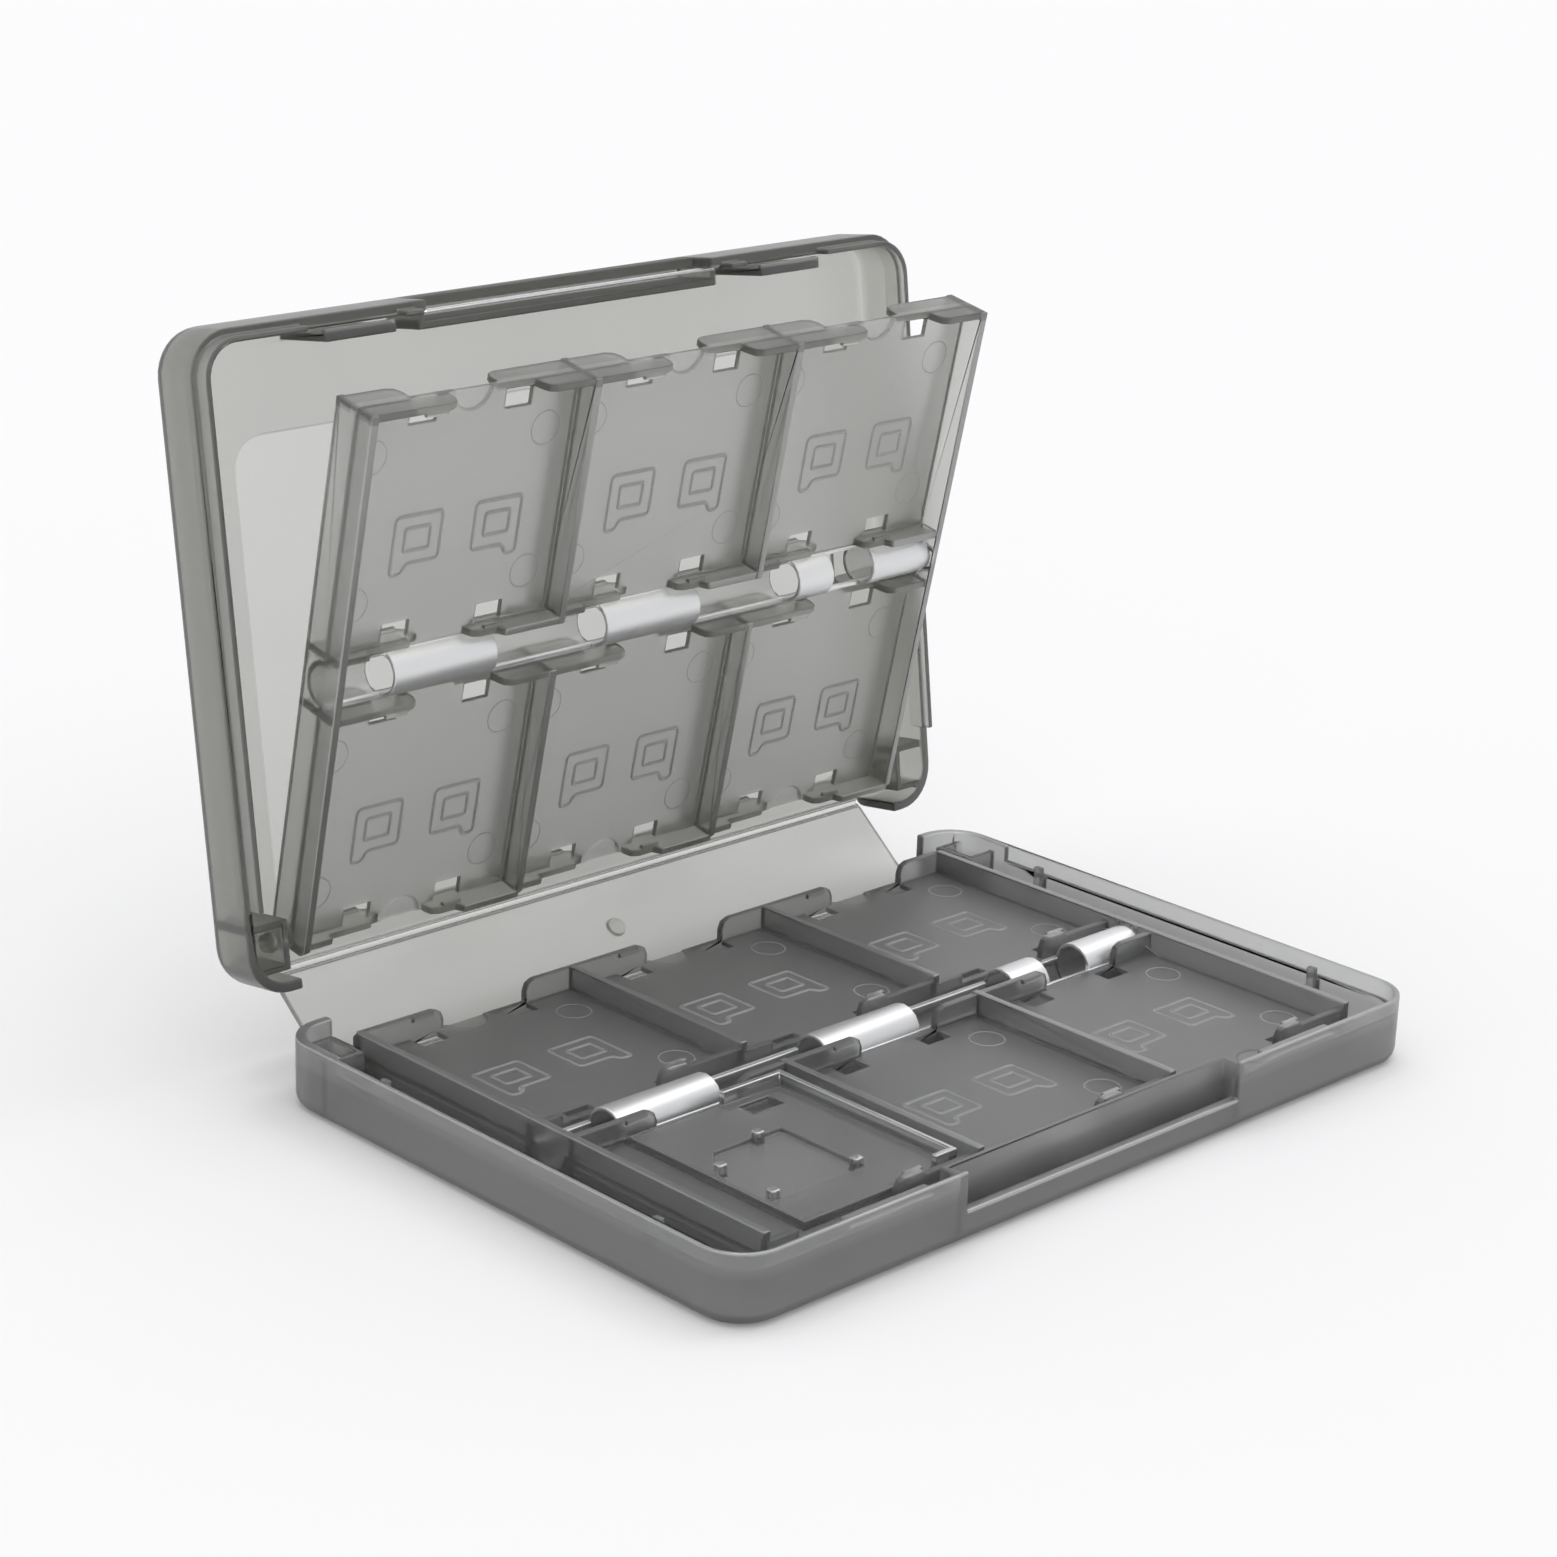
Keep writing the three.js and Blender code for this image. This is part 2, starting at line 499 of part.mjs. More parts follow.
function cardLeaf(layout) {
  const start = -PIVOT_V;
  const end = LEAF_L - PIVOT_V;
  const middle = (start + end) / 2;
  const half = LEAF_W / 2;
  const top = LEAF_T / 2;
  const walls = [...Array(COLUMNS + 1).keys()].map((i) => (i - COLUMNS / 2) * PITCH);
  const channel = [middle - CHANNEL_L / 2, middle + CHANNEL_L / 2];
  // each plate: low y, and the side of it on which its row of cells lies
  const plates = [
    { y: start, side: 1 },
    { y: channel[0] - PLATE_T, side: -1 },
    { y: channel[1], side: 1 },
    { y: end - PLATE_T, side: -1 },
  ];

  // end walls run the whole length, with chamfered hinge ends; dividers stop at the stylus channel
  const wallSide = new THREE.Shape([
    new THREE.Vector2(start, LEAF_CHAMFER - top),
    new THREE.Vector2(start + LEAF_CHAMFER, -top),
    new THREE.Vector2(end, -top),
    new THREE.Vector2(end, top),
    new THREE.Vector2(start + LEAF_CHAMFER, top),
    new THREE.Vector2(start, top - LEAF_CHAMFER),
  ]);
  const wallBodies = walls.map((x, i) => {
    const body = sweepX(wallSide, [x - LEAF_WALL / 2, x + LEAF_WALL / 2]);
    const isEnd = i === 0 || i === COLUMNS;
    return isEnd ? body : body.subtract(box([-FAR, FAR], channel, [-FAR, FAR]));
  });

  const sheet = box([-half, half], [start, end], [-CARD_WEB / 2, CARD_WEB / 2]);
  const plateBodies = [];
  const slots = [];
  plates.forEach(({ y, side }) => {
    const cellEdge = side > 0 ? y + PLATE_T : y;
    const slotY = beside(cellEdge, side, 0, SLOT_W);
    const isArm = side === layout.armSide;
    const edge = isArm ? armEdge : fingerEdge;
    const lip = isArm ? ARM_LIP : FINGER_LIP;
    const lipDrop = isArm ? ARM_DROP : layout.tipDrop;
    walls.forEach((x, i) => {
      const hasLeft = i > 0;
      const hasRight = i < COLUMNS;
      const edges = [edge(x, hasLeft, hasRight, layout), mirrored(edge(x, hasRight, hasLeft, layout), x)];
      const [front, rear] = layout.shown > 0 ? edges : edges.reverse();
      plateBodies.push(sweepY(plateShape(front, rear), [y, y + PLATE_T]));
      [-1, 1].filter((way) => (way < 0 ? hasLeft : hasRight)).forEach((way) => {
        const face = isArm ? way * layout.shown : -way * layout.shown;
        plateBodies.push(snapLip(beside(x, way, ...lip), cellEdge, side, face, lipDrop));
        slots.push(box(beside(x, way, ...SLOT_SPAN), slotY, [-CARD_WEB, CARD_WEB]));
      });
    });
  });

  // thumb scallops thin the sheet from both faces at the free and hinge ends of each column
  const scallops = [];
  [start, end].forEach((y) => {
    for (let column = 0; column < COLUMNS; column += 1) {
      const x = (column - (COLUMNS - 1) / 2) * PITCH;
      const round = new THREE.CylinderGeometry(SCALLOP_R, SCALLOP_R, CARD_WEB, ROUND_STEPS);
      round.rotateX(Math.PI / 2);
      const gap = (SCALLOP_T + CARD_WEB) / 2;
      scallops.push(solid(round.clone().translate(x, y, gap)), solid(round.clone().translate(x, y, -gap)));
    }
  });

  const inside = half - LEAF_WALL / 2;
  const boreSlot = box([-inside, inside], [middle - BORE_R, middle + BORE_R], [-CARD_WEB, CARD_WEB]);
  const boreMouth = barX(BORE_R, [half - 2 * LEAF_WALL, half + LEAF_WALL], middle, 0);
  const pinEnd = BRACKET_X + BRACKET_T + PIN_PAST;
  const pins = [
    barX(PIN_R, [half - OVERLAP, pinEnd], 0, 0),
    barX(PIN_R, [-pinEnd, OVERLAP - half], 0, 0),
  ];
  return sheet
    .subtract(join([boreSlot, ...slots, ...scallops]))
    .add(join([...wallBodies, ...plateBodies, barrels(walls, middle, layout.shown), ...pins]))
    .subtract(boreMouth);
}

// Tray for a small memory card, drawn from the middle of its cell, with y towards the hinge and z up
function memoryCardTray() {
  const cellHalf = (PITCH - LEAF_WALL) / 2;
  const left = TRAY_LEFT_GAP - cellHalf;
  const right = cellHalf - TRAY_RIGHT_GAP;
  const back = CELL_L / 2 - LIP_REACH - TRAY_END_GAP;
  const front = -back;
  const rimZ = [0, TRAY_RIM_H];
  const rims = [
    box([right - TRAY_RIM_T, right], [front, back], rimZ),
    box([right - TRAY_BACK_RIM_L, right], [back - TRAY_RIM_T, back], rimZ),
    box([right - TRAY_FRONT_RIM_L, right], [front, front + TRAY_RIM_T], rimZ),
  ];
  const recessX = [left + RECESS_LEFT, left + RECESS_LEFT + RECESS_W];
  const recessY = [back - RECESS_BACK - RECESS_L, back - RECESS_BACK];
  const floor = TRAY_T - RECESS_D;
  const recess = new THREE.Shape([
    new THREE.Vector2(recessX[0], recessY[0]),
    new THREE.Vector2(recessX[1], recessY[0]),
    new THREE.Vector2(recessX[1], recessY[1]),
    new THREE.Vector2(recessX[0] + RECESS_CLIP, recessY[1]),
    new THREE.Vector2(recessX[0], recessY[1] - RECESS_CLIP),
  ]);
  const slotX = right - TRAY_BACK_RIM_L + TRAY_NUB;
  const slotY = back - TRAY_RIM_T - TRAY_NUB;
  const slot = box([slotX, slotX + TRAY_SLOT_W], [slotY - TRAY_SLOT_L, slotY], [-OVERLAP, FAR]);
  const nubZ = [floor - OVERLAP, TRAY_T + TRAY_NUB_H];
  const nubs = [
    [recessX[0], recessY[1] - RECESS_CLIP - TRAY_NUB],
    [recessX[1] - RECESS_CLIP - TRAY_NUB, recessY[1] - TRAY_NUB],
    [recessX[0], recessY[0]],
    [recessX[1] - TRAY_NUB, recessY[0]],
  ].map(([x, y]) => box([x, x + TRAY_NUB], [y, y + TRAY_NUB], nubZ));
  return box([left, right], [front, back], [0, TRAY_T])
    .subtract(prism(recess, [floor, FAR]))
    .subtract(slot)
    .add(join([...rims, ...nubs]));
}

// Assembly, in the pose in which the case stands open
const SMOKE = '#7d7f7e';
const SMOKE_DARK = '#6a6d6d';
const SMOKE_LIGHT = '#a3a49f';
const CLEAR = 0.75;
const degrees = THREE.MathUtils.degToRad;

const base = mesh('base_shell', baseShell(), SMOKE, CLEAR);
base.position.set(0, CASE_D / 2, 0);
base.rotation.z = Math.PI;

const lowerLeaf = mesh('lower_leaf', cardLeaf(LOWER_PLATES), SMOKE_DARK, CLEAR);
lowerLeaf.position.set(0, CASE_D / 2 - PIVOT_E, PIVOT_N);
lowerLeaf.rotation.x = Math.PI;

const cardTray = mesh('memory_card_tray', memoryCardTray(), SMOKE_DARK, CLEAR);
const trayCell = CASE_D / 2 - LEAF_HINGE_ROOM - LEAF_L + PLATE_T + CELL_L / 2;
cardTray.position.set(-PITCH, trayCell, PIVOT_N + CARD_WEB / 2 + TRAY_SEAT_GAP);

// base hinge, and everything that swings on it
const baseHinge = new THREE.Group();
baseHinge.position.set(0, CASE_D / 2 - HINGE_N, HINGE_N);
baseHinge.add(mesh('base_hinge_web', hingeWeb(degrees(SPINE_ANGLE)), SMOKE_LIGHT, CLEAR));

const spineGroup = new THREE.Group();
spineGroup.rotation.x = degrees(SPINE_ANGLE);
spineGroup.add(mesh('spine', spinePanel(), SMOKE_LIGHT, CLEAR));
baseHinge.add(spineGroup);

// lid hinge: its web continues the spine and bends up to the lid
const lidHinge = new THREE.Group();
lidHinge.position.set(0, SPINE_L, 0);
lidHinge.add(mesh('lid_hinge_web', hingeWeb(degrees(LID_ANGLE - SPINE_ANGLE)), SMOKE_LIGHT, CLEAR));
spineGroup.add(lidHinge);

const lidGroup = new THREE.Group();
lidGroup.rotation.x = degrees(LID_ANGLE - SPINE_ANGLE);
const lid = mesh('lid_shell', lidShell(), SMOKE_LIGHT, CLEAR);
lid.position.set(0, -HINGE_N, -HINGE_N);
const upperLeaf = mesh('upper_leaf', cardLeaf(UPPER_PLATES), SMOKE, CLEAR);
upperLeaf.position.set(0, PIVOT_E - HINGE_N, PIVOT_N - HINGE_N);
upperLeaf.rotation.x = degrees(LEAF_ANGLE);
lidGroup.add(lid, upperLeaf);
lidHinge.add(lidGroup);

const gameCardCase = new THREE.Group();
gameCardCase.add(base, lowerLeaf, cardTray, baseHinge);

export default gameCardCase;
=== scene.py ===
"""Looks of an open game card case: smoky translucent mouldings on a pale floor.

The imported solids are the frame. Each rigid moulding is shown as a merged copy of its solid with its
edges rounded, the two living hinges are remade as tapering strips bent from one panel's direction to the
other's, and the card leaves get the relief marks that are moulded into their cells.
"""
import json
import math

import bmesh
import bpy
import numpy as np
from mathutils import Matrix
from mathutils.bvhtree import BVHTree

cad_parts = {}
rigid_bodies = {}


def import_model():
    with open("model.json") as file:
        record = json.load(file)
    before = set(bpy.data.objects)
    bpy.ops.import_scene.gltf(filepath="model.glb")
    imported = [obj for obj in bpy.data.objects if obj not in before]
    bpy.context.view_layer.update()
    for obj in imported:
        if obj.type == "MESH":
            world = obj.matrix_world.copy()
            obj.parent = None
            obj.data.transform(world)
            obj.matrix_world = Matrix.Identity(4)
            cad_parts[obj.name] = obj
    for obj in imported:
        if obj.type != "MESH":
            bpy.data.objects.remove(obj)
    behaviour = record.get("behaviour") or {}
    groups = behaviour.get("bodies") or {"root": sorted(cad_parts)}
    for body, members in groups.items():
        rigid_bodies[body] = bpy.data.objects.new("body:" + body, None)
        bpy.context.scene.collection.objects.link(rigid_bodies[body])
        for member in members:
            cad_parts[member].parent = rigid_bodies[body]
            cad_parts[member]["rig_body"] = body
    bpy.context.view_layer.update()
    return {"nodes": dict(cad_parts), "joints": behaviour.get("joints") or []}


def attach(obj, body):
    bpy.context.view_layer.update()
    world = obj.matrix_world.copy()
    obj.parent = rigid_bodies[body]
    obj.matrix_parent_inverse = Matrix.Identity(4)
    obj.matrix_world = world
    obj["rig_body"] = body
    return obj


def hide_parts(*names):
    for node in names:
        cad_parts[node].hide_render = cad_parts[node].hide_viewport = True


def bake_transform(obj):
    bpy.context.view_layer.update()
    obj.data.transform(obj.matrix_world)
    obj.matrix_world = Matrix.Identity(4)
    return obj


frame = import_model()

MM = 0.001
JOINTS = {joint["name"]: joint["pos_m"] for joint in frame["joints"] if "pos_m" in joint}
WELD = 0.002 * MM  # points closer than this are one
SHARP_ANGLE = math.radians(40)
SHELL_ROUNDING = 0.28 * MM  # edges of base, lid and spine
LEAF_ROUNDING = 0.2 * MM  # edges of leaves and tray

# Camera, solved from the straight edges of the case; pixels of the square photograph
PHOTO_SIDE = 1557
FOCAL_PIXELS = 3587.5
AXIS_PIXEL = (751.8, 781.1)  # where the lens axis meets the picture
VIEW_AZIMUTH = 44.34  # degrees round to the left of the front
VIEW_ELEVATION = 18.94
VIEW_ROLL = 1.96
VIEW_OFFSET = (-16.21 * MM, 44.47 * MM, 540.17 * MM)  # camera from the origin, along its own axes
SENSOR_WIDTH = 36.0
NEAREST = 0.01  # metres from the camera

# Card leaves, measured from their pivots: columns across, rows along
LEAF_TILTS = {"upper_leaf": math.radians(101.2), "lower_leaf": math.radians(180)}  # above the table
COLUMNS = (-41 * MM, 0, 41 * MM)
ROWS = (18.1 * MM, 65.5 * MM)
WEB_HALF = 0.45 * MM  # half the sheet between the two faces
LEAF_HALF = 4.2 * MM  # half the leaf's thickness
CHANNEL_AT = 41.8 * MM  # stylus channel along the leaf
CHANNEL_RADIUS = 3.8 * MM  # just outside the stylus barrels
BARREL_HALF_SPAN = 60.4 * MM  # between the leaf's end walls
END_PLATE_AT = 84.7 * MM  # cross plates at the free end
END_PLATE_HALF = 0.75 * MM

# Marks moulded into the cells
MARK_BEAD = (0.4 * MM, 0.2 * MM)  # half width and height of the raised line
BEAD_SINK = 0.01 * MM  # its underside in the sheet
BEAD_STEPS = 7  # points across it
MARK_HALF_WIDTH = 4.3 * MM
MARK_HALF_LENGTH = 3.8 * MM
MARK_TAB = (2.6 * MM, 1.6 * MM)  # width and length of the tab at one corner of a mark
MARK_CORNER = 0.9 * MM
MARK_INSET = 2 * MM  # card outline to label outline
CORNER_STEPS = 5  # points round a corner
RING_RADIUS = 2.7 * MM  # ejector rings
RING_BEAD = (0.16 * MM, 0.06 * MM)
RING_STEPS = 24
RING_ACROSS = (-17.2 * MM, 14.7 * MM)  # from the middle of a cell
RING_ALONG = (-11.5 * MM, 11.5 * MM)

# Other places where the finish changes, or where shade and highlights are painted
RIM_Z = (6.8 * MM, 7.9 * MM)  # height over which the painted shade on the base wall gives way towards its thin rim
RIM_TOP = 10.7 * MM
THUMB_LIP_Z = 4.7 * MM  # edge of the low wall in front of the base's thumb recess
THUMB_HALF_WIDTH = 28.9 * MM
FRONT_WALL_Y = -47.3 * MM  # its inner face
LID_THUMB_AT = 95.8 * MM  # middle of the lid's thumb recess, from the lid hinge
LID_THUMB_HALF = 1.75 * MM
LID_THUMB_HALF_WIDTH = 29 * MM
TRAY_CRESTS = (9.75 * MM, 9.05 * MM)  # tops of the tray's rims and nubs
PAINTED_HIGHLIGHT_DEPTH = 0.3 * MM  # depth of the painted highlight along wall tops
FLOOR_MARGIN = 0.3 * MM  # cell floors reach this far out of the sheet
MASK_SOFT = 0.05 * MM  # half the width of the border between two finishes

# Finishes, with painted sheen, highlights and shade
WARM = (0.11, 0.11, 0)  # absorption tints
GREY = (0.09, 0.09, 0.06)
DRIFT_TINTS = ((0.93, 0.94, 0.95, 1), (1, 1, 1, 1))
DRIFT_SCALE = 45  # slow drift of gloss and tint, per metre
GLOSS_DRIFT = 0.06
GRAIN_SCALE = 2600  # moulded grain, per metre
GRAIN_DEPTH = 0.02 * MM
PLASTIC_IOR = 1.49
MATT_ROUGHNESS = 0.38  # cell floors
# stylus barrels: their roughness, and the metallic share of their painted sheen
BARREL_ROUGHNESS = 0.42  # stylus barrels
BARREL_PAINTED_SHEEN_SHARE = 0.7
# metallic share of the painted highlight on wall crests
PAINTED_HIGHLIGHT_SHARE = 0.2
TRAY_PAINTED_HIGHLIGHT_SHARE = 0.5
BELOW_RIM_PAINTED_SHADE = 0.78  # painted shade on the base wall below the rim
# painted shade on the cross plates at the upper leaf's free end
END_PLATE_PAINTED_SHADE = 0.62
# painted shade in the lid's thumb recess
LID_THUMB_PAINTED_SHADE = 0.66
LID_THUMB_ROUGHNESS = 0.6

# Living hinges
STRIP_HALF_WIDTH = 62.3 * MM
STRIP_REACH = 0.88 * MM  # crease to panel edge
STRIP_CREASE = 0.36 * MM  # thickness at the crease
STRIP_BEND = 0.55  # share of the reach that bends
STRIP_STEPS = 17
PANEL_THICKNESS = 1.2 * MM
SPINE_TILT = math.radians(38.8)
LID_TILT = math.radians(81.9)

# Studio
# Lamps: name, strength, spread in degrees, and lean in degrees about X, Y and Z from straight overhead
LAMPS = (
    ("overhead", 0.45, 30, (-8, 5, 0)),
    ("right_softbox", 0.3, 25, (4, 35, 0)),
)
SKY_COLOUR = (0.985, 0.985, 1, 1)
SKY_STRENGTH = 0.88
PAPER = (0.9, 0.9, 0.9, 1)
FLOOR_HALF = 6.0  # metres
FLOOR_Z = -0.05 * MM


class Wire:
    """A socket of a node tree. Sums, differences and products of wires and numbers add Math nodes."""

    def __init__(self, tree, socket=None):
        self.tree = tree
        self.socket = socket

    def node(self, kind, settings=None, inputs=None, output=0):
        """Adds one node: its settings first, then each input's link or value. Returns an output as a wire."""
        made = self.tree.nodes.new(kind)
        for name, value in (settings or {}).items():
            setattr(made, name, value)
        for name, value in (inputs or {}).items():
            if isinstance(value, Wire):
                self.tree.links.new(value.socket, made.inputs[name])
            else:
                made.inputs[name].default_value = value
        return Wire(self.tree, made.outputs[output] if made.outputs else None)

    def math(self, operation, first, second):
        return self.node("ShaderNodeMath", {"operation": operation}, {0: first, 1: second})

    def vector(self, operation, other, output=0):
        """Vector Math on this place and another."""
        return self.node("ShaderNodeVectorMath", {"operation": operation}, {0: self, 1: other}, output)

    def axis(self, name):
        """This place's X, Y or Z."""
        return self.node("ShaderNodeSeparateXYZ", None, {0: self}, name)

    def size(self):
        """This number without its sign."""
        return self.math("ABSOLUTE", self, 0)

    def ramp(self, start, end):
        """0 where this number is at start, rising to 1 at end."""
        return self.node("ShaderNodeMapRange", None, {"Value": self, "From Min": start, "From Max": end})

    def within(self, reach):
        """1 where this number is below reach, falling to 0 across a soft border."""
        return self.ramp(reach + MASK_SOFT, reach - MASK_SOFT)

    def measured(self, origin, way):
        """How far this place lies from an origin, along a way."""
        return self.vector("SUBTRACT", origin).vector("DOT_PRODUCT", way, "Value")

    def shaded(self, mask, share):
        """This colour, darkened to a share of itself where a mask is 1."""
        settings = {"data_type": "RGBA", "blend_type": "MULTIPLY"}
        return self.node("ShaderNodeMix", settings, {0: mask, 6: self, 7: (share, share, share, 1)}, output=2)

    def mixed(self, first, second):
        """From one colour to another as this number goes from 0 to 1."""
        return self.node("ShaderNodeMix", {"data_type": "RGBA"}, {0: self, 6: first, 7: second}, output=2)

    def __add__(self, other):
        return self.math("ADD", self, other)

    def __sub__(self, other):
        return self.math("SUBTRACT", self, other)

    def __rsub__(self, other):
        return self.math("SUBTRACT", other, self)

    def __mul__(self, other):
        return self.math("MULTIPLY", self, other)

    __radd__ = __add__
    __rmul__ = __mul__


def empty_material(name):
    """A new material with a bare node tree, as (material, wire)."""
    material = bpy.data.materials.new(name)
    material.use_nodes = True
    material.node_tree.nodes.clear()
    return material, Wire(material.node_tree)


def leaf_axes(leaf):
    """A leaf's pivot, the way along it and the way out of its shown face."""
    tilt = LEAF_TILTS[leaf]
    along = np.array([0, math.cos(tilt), math.sin(tilt)])
    out = np.array([0, -math.sin(tilt), math.cos(tilt)]) * (1 if leaf == "upper_leaf" else -1)
    return np.array(JOINTS[leaf + "_pivot"]), along, out


# Details of single mouldings. Each takes the skin of a smoky plastic, a dictionary of its place, colour,
# painted sheen (a metallic share), gloss, grain and plain roughness, and changes it where the moulding
# differs or where shade, highlights or sheen are painted.


def base_painted_shade_and_highlights(skin):
    """The base is darker below its thin rim, a painted shade, and the crests of the rim and of the low thumb
    wall are paler, painted highlights.
    """
    place = skin["place"]
    height = place.axis("Z")
    low_wall = place.axis("X").size().within(THUMB_HALF_WIDTH) * place.axis("Y").within(FRONT_WALL_Y)
    thumb_lip = low_wall * (height - THUMB_LIP_Z).size().within(PAINTED_HIGHLIGHT_DEPTH)
    # painted highlight on the rim crest and the thumb lip
    skin["painted_sheen"] = ((RIM_TOP - height).within(PAINTED_HIGHLIGHT_DEPTH) + 2 * thumb_lip) * PAINTED_HIGHLIGHT_SHARE
    # painted shade on the base below its rim
    skin["colour"] = height.ramp(*RIM_Z).mixed((BELOW_RIM_PAINTED_SHADE, BELOW_RIM_PAINTED_SHADE, BELOW_RIM_PAINTED_SHADE, 1), skin["colour"])


def lid_thumb_painted_shade(skin):
    """The lid is darker in its thumb recess, a painted shade, and duller there."""
    hinge = JOINTS["lid_hinge"]
    along = (0, math.cos(LID_TILT), math.sin(LID_TILT))
    recess = (skin["place"].measured(hinge, along) - LID_THUMB_AT).size().within(LID_THUMB_HALF)
    recess = recess * skin["place"].axis("X").size().within(LID_THUMB_HALF_WIDTH)
    # painted shade in the lid's thumb recess
    skin["colour"] = skin["colour"].shaded(recess, LID_THUMB_PAINTED_SHADE)
    skin["gloss"] = skin["gloss"] + recess * (LID_THUMB_ROUGHNESS - skin["roughness"])


def tray_painted_highlights(skin):
    """The tops of the tray's rims and nubs are paler, a painted highlight."""
    height = skin["place"].axis("Z")
    rims, nubs = ((height - crest).size().within(PAINTED_HIGHLIGHT_DEPTH) for crest in TRAY_CRESTS)
    # painted highlight on the rims and nubs
    skin["painted_sheen"] = (rims + nubs) * TRAY_PAINTED_HIGHLIGHT_SHARE


def leaf_face(skin, leaf):
    """Only the cell floors are grained; the shown stylus barrels get a painted sheen and the wall crests a
    painted highlight.
    """
    pivot, along, out = leaf_axes(leaf)
    place = skin["place"]
    height = place.measured(pivot, out)
    floors = height.size().within(WEB_HALF + FLOOR_MARGIN)
    side_on = (0, 1, 1)
    channel = (pivot + CHANNEL_AT * along) * side_on
    from_channel = place.vector("MULTIPLY", side_on).vector("DISTANCE", channel, "Value")
    between = place.axis("X").size().within(BARREL_HALF_SPAN)
    barrels = from_channel.within(CHANNEL_RADIUS) * (0 - height).within(0) * between
    matt = floors * (1 - barrels)
    plain = skin["roughness"]
    # painted sheen on the shown barrels and painted highlight on the wall crests
    skin["painted_sheen"] = barrels * BARREL_PAINTED_SHEEN_SHARE + (LEAF_HALF - height.size()).within(PAINTED_HIGHLIGHT_DEPTH) * PAINTED_HIGHLIGHT_SHARE
    skin["gloss"] = skin["gloss"] + matt * (MATT_ROUGHNESS - plain) + barrels * (BARREL_ROUGHNESS - plain)
    skin["grain"] = skin["grain"] * matt
    return floors


def upper_leaf_face(skin):
    """A leaf face whose cross plates at the free end are darker, a painted shade."""
    floors = leaf_face(skin, "upper_leaf")
    pivot, along, _ = leaf_axes("upper_leaf")
    plates = (skin["place"].measured(pivot, along) - END_PLATE_AT).size().within(END_PLATE_HALF)
    # painted shade on the end plates
    skin["colour"] = skin["colour"].shaded(plates * (1 - floors), END_PLATE_PAINTED_SHADE)


def lower_leaf_face(skin):
    """A leaf face with nothing more."""
    leaf_face(skin, "lower_leaf")


def smoky_plastic(name, density, tint, roughness, grain, haze, passing, detail=None):
    """Clear grey moulded plastic: rough glass whose colour comes from how far light travels in it.

    The surface has a fine moulded grain, a slow drift of gloss and tint, and a share of pale haze. A share
    of the lamps' light passes through it, dimmed by the same absorption, so that what it holds and the
    floor under it are lit.
    """
    material, wire = empty_material(name)
    place = wire.node("ShaderNodeTexCoord", output="Object")
    fine = wire.node("ShaderNodeTexNoise", None, {"Vector": place, "Scale": GRAIN_SCALE, "Detail": 2})
    drift = wire.node("ShaderNodeTexNoise", None, {"Vector": place, "Scale": DRIFT_SCALE, "Detail": 3})
    skin = {
        "place": place,
        "colour": drift.mixed(*DRIFT_TINTS),
        "painted_sheen": 0,
        "gloss": roughness + (drift - 0.5) * GLOSS_DRIFT,
        "grain": fine,
        "roughness": roughness,
    }
    if detail:
        detail(skin)
    relief = {"Strength": grain, "Distance": GRAIN_DEPTH, "Height": skin["grain"]}
    bump = wire.node("ShaderNodeBump", None, relief)
    glass = wire.node(
        "ShaderNodeBsdfPrincipled",
        None,
        {
            "Base Color": skin["colour"],
            "Metallic": skin["painted_sheen"],
            "Roughness": skin["gloss"],
            "IOR": PLASTIC_IOR,
            "Transmission Weight": 1 - haze,
            "Normal": bump,
        },
    )
    through = wire.node("ShaderNodeBsdfTransparent", None, {"Color": (passing, passing, passing, 1)})
    lamp_ray = wire.node("ShaderNodeLightPath", output="Is Shadow Ray")
    surface = wire.node("ShaderNodeMixShader", None, {0: lamp_ray, 1: glass, 2: through})
    smoke = wire.node("ShaderNodeVolumeAbsorption", None, {"Color": (*tint, 1), "Density": density})
    wire.node("ShaderNodeOutputMaterial", None, {"Surface": surface, "Volume": smoke})
    return material


def add_object(name, mesh, material):
    piece = bpy.data.objects.new(name, mesh)
    bpy.context.scene.collection.objects.link(piece)
    mesh.materials.clear()
    mesh.materials.append(material)
    return piece


def moulding(node, material, rounding):
    """A merged copy of a solid with every sharp edge rounded, in place of the node.

    A rounded edge stays within half the rounding of the solid's own surface. Where short edges meet and
    a corner point lands further off, it is set back on that surface.
    """
    mesh = frame["nodes"][node].data.copy()
    work = bmesh.new()
    work.from_mesh(mesh)
    bmesh.ops.remove_doubles(work, verts=work.verts, dist=WELD)
    solid = BVHTree.FromBMesh(work)
    sharp = [edge for edge in work.edges if edge.calc_face_angle(0) > SHARP_ANGLE]
    bmesh.ops.bevel(work, geom=sharp, offset=rounding, segments=2, profile=0.5, affect="EDGES")
    for corner in work.verts:
        place, _, _, distance = solid.find_nearest(corner.co)
        if distance > rounding / 2:
            corner.co = place
    work.to_mesh(mesh)
    work.free()
    mesh.shade_smooth()
    piece = add_object(node + "_moulding", mesh, material)
    flats = piece.modifiers.new("flat faces", "WEIGHTED_NORMAL")
    flats.weight = 100
    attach(piece, frame["nodes"][node]["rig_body"])
    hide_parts(node)


